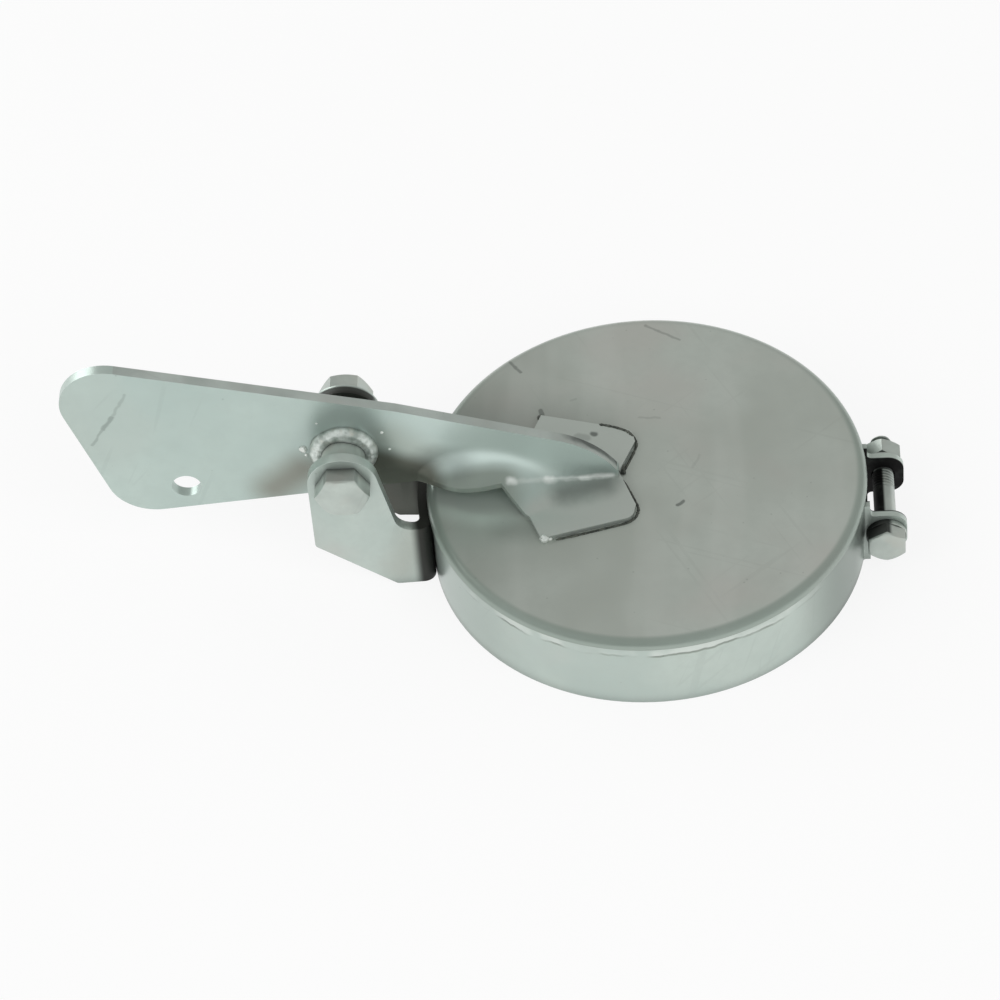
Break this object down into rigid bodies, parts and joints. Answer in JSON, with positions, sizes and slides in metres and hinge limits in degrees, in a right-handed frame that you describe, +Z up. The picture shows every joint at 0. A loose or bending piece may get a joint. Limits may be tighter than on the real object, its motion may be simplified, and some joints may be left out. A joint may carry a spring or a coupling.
{
  "type": "flue rain cap",
  "caption": "Hinged round rain cap for a vertical flue or exhaust pipe: flat lid on a counterweighted arm, pivoting in a bracket on a bolted pipe clamp.",
  "frame": {"origin": "on the axis of the clamp band, at the band's lower edge", "axes": "+Z up the pipe, +X towards the clamp screw, -X towards the hinge and the counterweight"},
  "size_m": [0.226, 0.12, 0.0748],
  "materials": {
    "zinc_plate": "zinc plated sheet steel, satin, faint green tint",
    "zinc_strap": "zinc plated strip steel, satin",
    "fastener": "zinc plated screws, nuts, washers and sleeve",
    "weld": "zinc plated weld bead, uneven"
  },
  "bodies": {
    "clamp": {"clamp_band": "zinc_strap", "clamp_screw": "fastener", "clamp_washers": "fastener", "clamp_nut": "fastener", "hinge_bracket": "zinc_strap", "pivot_bolt": "fastener", "pivot_nut": "fastener"},
    "flap": {"lid_disc": "zinc_plate", "arm_front_plate": "zinc_plate", "arm_rear_plate": "zinc_plate", "pivot_sleeve": "fastener", "sleeve_weld_front": "weld", "sleeve_weld_rear": "weld"}
  },
  "joints": [
    {"name": "lid_hinge", "type": "hinge", "parent": "clamp", "child": "flap", "pos_m": [-0.081, 0, 0.041], "axis": [0, -1, 0], "range_deg": [0, 87]}
  ]
}
